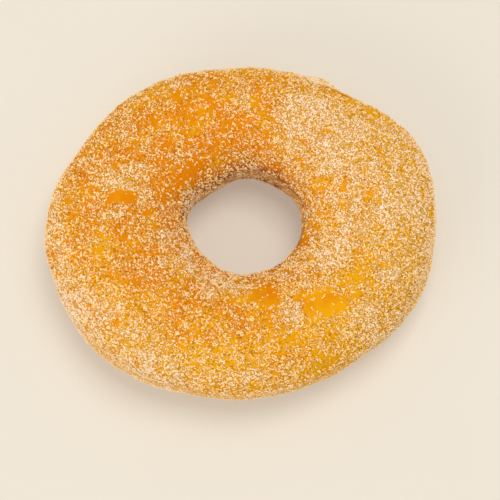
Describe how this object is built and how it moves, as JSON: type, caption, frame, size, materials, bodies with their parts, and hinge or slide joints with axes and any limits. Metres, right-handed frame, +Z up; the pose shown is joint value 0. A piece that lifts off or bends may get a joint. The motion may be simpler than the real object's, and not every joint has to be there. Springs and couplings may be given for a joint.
{
  "type": "sugared ring doughnut",
  "caption": "Uneven oval ring of fried dough with an off-centre hole, a creased pale belt round its waist and a flat base, dusted all over with granulated sugar.",
  "frame": {"origin": "on the surface that the doughnut rests on, under the middle of its overall box", "axes": "+X along the ring's longer way across, +Y along its shorter way across, +Z up through the hole from the base"},
  "size_m": [0.098, 0.084, 0.03],
  "materials": {
    "crust": "golden-brown fried crust, slightly oily, paler at the waist",
    "sugar": "near-white granulated sugar crystals"
  },
  "bodies": {
    "root": {"dough_ring": "crust"}
  },
  "joints": []
}
